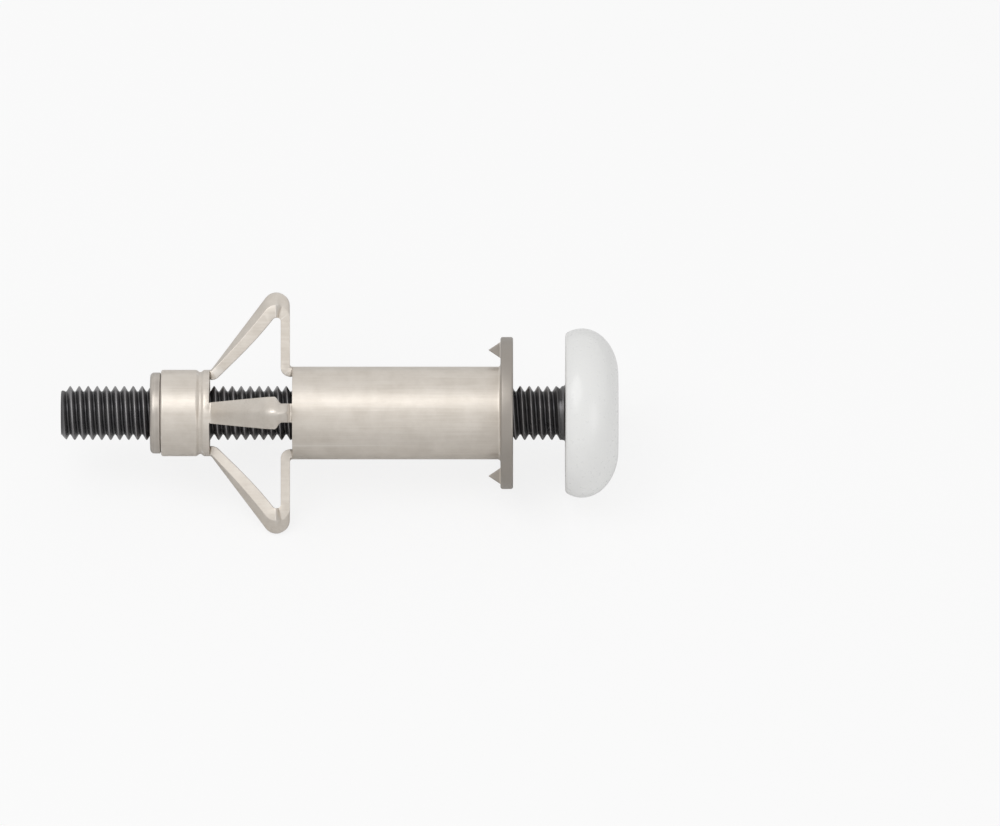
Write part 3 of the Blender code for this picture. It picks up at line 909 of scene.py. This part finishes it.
def larger(tree, value_a, value_b):
    return add_node(tree, "ShaderNodeMath", {0: value_a, 1: value_b}, operation="MAXIMUM").outputs[0]


def mix_colours(tree, share, colour_a, colour_b):
    """A mix of two colours, each a triple or a socket."""
    node = add_node(tree, "ShaderNodeMix", data_type="RGBA")
    for index, value in zip(MIX_SOCKETS, (share, colour_a, colour_b)):
        socket = node.inputs[index]
        if isinstance(value, bpy.types.NodeSocket):
            tree.links.new(value, socket)
        elif isinstance(value, tuple):
            socket.default_value = (*value, 1.0)
        else:
            socket.default_value = value
    return node.outputs[2]


def bump(tree, height, distance, before=None):
    """Relief of a height times a distance, on top of an earlier relief where one is given."""
    inputs = {"Height": height, "Distance": distance, "Strength": 1.0}
    if before:
        inputs["Normal"] = before
    return add_node(tree, "ShaderNodeBump", inputs).outputs["Normal"]


def edge_wear(tree):
    """1 along outer edges, where the plating is rubbed bright, and 0 on faces."""
    point = add_node(tree, "ShaderNodeNewGeometry").outputs["Pointiness"]
    return remap(tree, point, WORN_POINTINESS, RISING)


def painted_edge_shade(tree):
    """Where painted shade darkens the plating: 1 on the flange's blanked edge and on its prongs and 0
    elsewhere, with a soft border between.
    """
    along, radius = along_and_out(tree)
    seat = FLANGE_SEAT / MM
    tips = seat - PRONG_LENGTH / MM - EDGE_BORDER
    edge = (FLANGE_RADIUS - FLANGE_ROUNDING) / MM
    foot = (BARREL_OUTER + FLANGE_FILLET) / MM
    in_front_of_seat = remap(tree, along, (seat - EDGE_BORDER, seat), RISING)
    at_edge = remap(tree, radius, (edge - EDGE_BORDER, edge), RISING)
    behind_seat = remap(tree, along, (seat - EDGE_BORDER, seat), FALLING)
    in_front_of_tips = remap(tree, along, (tips - EDGE_BORDER, tips), RISING)
    clear_of_barrel = remap(tree, radius, (foot, foot + EDGE_BORDER), RISING)
    prongs = product(tree, product(tree, behind_seat, in_front_of_tips), clear_of_barrel)
    return larger(tree, product(tree, in_front_of_seat, at_edge), prongs)


def finish(tree, shader, colour, roughness, normal):
    tree.links.new(colour, shader.inputs["Base Color"])
    tree.links.new(roughness, shader.inputs["Roughness"])
    tree.links.new(normal, shader.inputs["Normal"])


def satin_plating():
    """Warm satin zinc plating on drawn sheet: soft clouds, draw lines along the axis and rubbed edges.

    Painted shade darkens the flange's blanked edge and its prongs.
    """
    dark, light, bright = SHEET_TONES
    material, tree, shader = new_material("satin_plating", metallic=SHEET_METALLIC)
    place = millimetres(tree)
    lines = noise(tree, millimetres(tree, DRAW_LINE_STRETCH), scale=1.0, detail=2.0)
    clouds = noise(tree, place, scale=0.45, detail=4.0, roughness=0.6)
    grain = noise(tree, place, scale=14.0, detail=2.0)
    tone = mix_colours(tree, remap(tree, clouds, MIDDLE, RISING), dark, light)
    lined = mix_colours(tree, remap(tree, lines, LINE_RANGE, LINE_SHARE), tone, bright)
    worn = mix_colours(tree, edge_wear(tree), lined, bright)
    # Painted shade: the flange's edge and its prongs are darkened.
    with_painted_shade = mix_colours(tree, product(tree, painted_edge_shade(tree), EDGE_SHADE), worn, EDGE_PAINTED_SHADE_TONE)
    roughness = remap(tree, lines, WIDE, SHEET_ROUGHNESS)
    grained = bump(tree, grain, SHEET_GRAIN_DEPTH)
    finish(tree, shader, with_painted_shade, roughness, bump(tree, lines, DRAW_LINE_DEPTH, grained))
    return material


def turned_plating():
    """The same plating on the turned nut, with rings round the axis, in darker tones that are painted
    shade.
    """
    dark, light, bright = SHADED_NUT_TONES
    material, tree, shader = new_material("nut_plating", metallic=NUT_METALLIC)
    rings = noise(tree, ring_place(tree), scale=9.0)
    clouds = noise(tree, millimetres(tree), scale=0.6)
    tone = mix_colours(tree, remap(tree, clouds, MIDDLE, RISING), dark, light)
    ringed = mix_colours(tree, remap(tree, rings, RING_RANGE, RING_SHARE), tone, bright)
    worn = mix_colours(tree, edge_wear(tree), ringed, bright)
    roughness = remap(tree, rings, WIDE, NUT_ROUGHNESS)
    finish(tree, shader, worn, roughness, bump(tree, rings, TURNED_RING_DEPTH))
    return material


def crest_wear_and_highlight(tree):
    """How much a thread's surface is lightened, partly by rubbed wear and partly as painted highlight:
    most on the crests, and little again at the neck.
    """
    along, radius = along_and_out(tree)
    top = THREAD_RADIUS / MM
    neck = (FLANGE_SEAT + NECK_X) / MM
    run_out = THREAD_RUN_OUT / MM
    crest = remap(tree, radius, (top - CREST_BAND, top), RISING)
    before_neck = remap(tree, along, (neck - 2 * run_out, neck - run_out), (1.0, NECK_WEAR_AND_HIGHLIGHT))
    return product(tree, crest, before_neck)


def oiled_steel():
    """Dark rolled thread: darkest in the roots and lighter on the crests, partly rubbed wear and partly
    painted shade and highlight, with clouds of oil.
    """
    root, crest = THREAD_TONES
    material, tree, shader = new_material("oiled_steel", metallic=STEEL_METALLIC)
    place = millimetres(tree)
    clouds = noise(tree, place, scale=0.8, detail=4.0)
    # Crests lightened and roots left dark: partly rubbed wear, partly painted highlight and painted
    # shade.
    rubbed = mix_colours(tree, crest_wear_and_highlight(tree), root, crest)
    colour = mix_colours(tree, remap(tree, clouds, WIDE, OIL_SHARE), rubbed, OIL_TONE)
    roughness = remap(tree, clouds, WIDE, STEEL_ROUGHNESS)
    grain = noise(tree, place, scale=12.0)
    finish(tree, shader, colour, roughness, bump(tree, grain, STEEL_GRAIN_DEPTH))
    return material


def white_enamel():
    """Sprayed white enamel with a faint orange peel."""
    shade, white = ENAMEL_TONES
    material, tree, shader = new_material(
        "white_enamel",
        metallic=0.0,
        coat_weight=ENAMEL_COAT,
        coat_roughness=ENAMEL_COAT_ROUGHNESS,
    )
    place = millimetres(tree)
    clouds = noise(tree, place, scale=0.3)
    colour = mix_colours(tree, clouds, shade, white)
    roughness = remap(tree, noise(tree, place, scale=2.0), WIDE, ENAMEL_ROUGHNESS)
    peel = noise(tree, place, scale=2.6, detail=1.0)
    finish(tree, shader, colour, roughness, bump(tree, peel, ORANGE_PEEL_DEPTH))
    return material


# Stage


def ray_share(tree, kinds):
    """1 for the named kinds of ray and 0 for others."""
    path = add_node(tree, "ShaderNodeLightPath")
    share = path.outputs[kinds[0]]
    for kind in kinds[1:]:
        share = larger(tree, share, path.outputs[kind])
    return share


def make_floor():
    """A pale floor under the anchor, lightened where the camera sees it; it keeps its shadows."""
    bm = bmesh.new()
    bmesh.ops.create_grid(bm, x_segments=1, y_segments=1, size=FLOOR_SIZE / 2)
    floor = make_object("studio_floor", bm)
    floor.location.z = CAD_BOX[0].z
    material, tree, shader = new_material("studio_floor", roughness=FLOOR_ROUGHNESS)
    shader.inputs["Base Color"].default_value = (*FLOOR_COLOUR, 1.0)
    white = add_node(tree, "ShaderNodeEmission", {"Color": WHITE, "Strength": 1.0})
    share = product(tree, ray_share(tree, ["Is Camera Ray"]), FLOOR_WHITENING)
    mixed = add_node(tree, "ShaderNodeMixShader", {0: share, 1: shader.outputs[0], 2: white.outputs[0]})
    tree.links.new(mixed.outputs[0], tree.nodes["Material Output"].inputs["Surface"])
    floor.data.materials.append(material)


def make_world():
    world = bpy.data.worlds.new("studio")
    world.use_nodes = True
    tree = world.node_tree
    light = tree.nodes["Background"]
    light.inputs["Color"].default_value = WHITE
    light.inputs["Strength"].default_value = WORLD_LIGHT
    white = add_node(tree, "ShaderNodeBackground", {"Color": WHITE, "Strength": 1.0})
    seen = ray_share(tree, ["Is Camera Ray", "Is Glossy Ray", "Is Transmission Ray"])
    mixed = add_node(tree, "ShaderNodeMixShader", {0: seen, 1: light.outputs[0], 2: white.outputs[0]})
    tree.links.new(mixed.outputs[0], tree.nodes["World Output"].inputs["Surface"])
    bpy.context.scene.world = world


def add_lamp(name, place, size, power):
    """A square softbox that faces the middle of the anchor."""
    data = bpy.data.lights.new(name, "AREA")
    data.shape = "SQUARE"
    data.size = size
    data.energy = power
    lamp = bpy.data.objects.new(name, data)
    lamp.location = place
    lamp.rotation_euler = Vector(place).to_track_quat("Z", "Y").to_euler()
    bpy.context.scene.collection.objects.link(lamp)


def make_camera():
    """Looks down on the anchor as the photograph shows it from the side, with its axis level."""
    width = PICTURE_WIDTH / PIXELS_PER_MM * MM
    distance = width * CAMERA_LENS / CAMERA_SENSOR
    data = bpy.data.cameras.new("camera")
    data.lens = CAMERA_LENS
    data.sensor_width = CAMERA_SENSOR
    camera = bpy.data.objects.new("camera", data)
    away = Vector((0.0, -math.cos(CAMERA_ELEVATION), math.sin(CAMERA_ELEVATION)))
    camera.location = Vector((FLANGE_SEAT + PICTURE_CENTRE_X, 0.0, 0.0)) + away * distance
    camera.rotation_euler = away.to_track_quat("Z", "Y").to_euler()
    bpy.context.scene.collection.objects.link(camera)
    bpy.context.scene.camera = camera


def main():
    make_sleeve([satin_plating()])
    make_nut([turned_plating()])
    make_screw([oiled_steel(), white_enamel()])
    make_floor()
    make_world()
    add_lamp("key", KEY_PLACE, KEY_SIZE, KEY_POWER)
    add_lamp("fill", FILL_PLACE, FILL_SIZE, FILL_POWER)
    make_camera()
    bpy.context.scene.view_settings.view_transform = "Standard"


main()
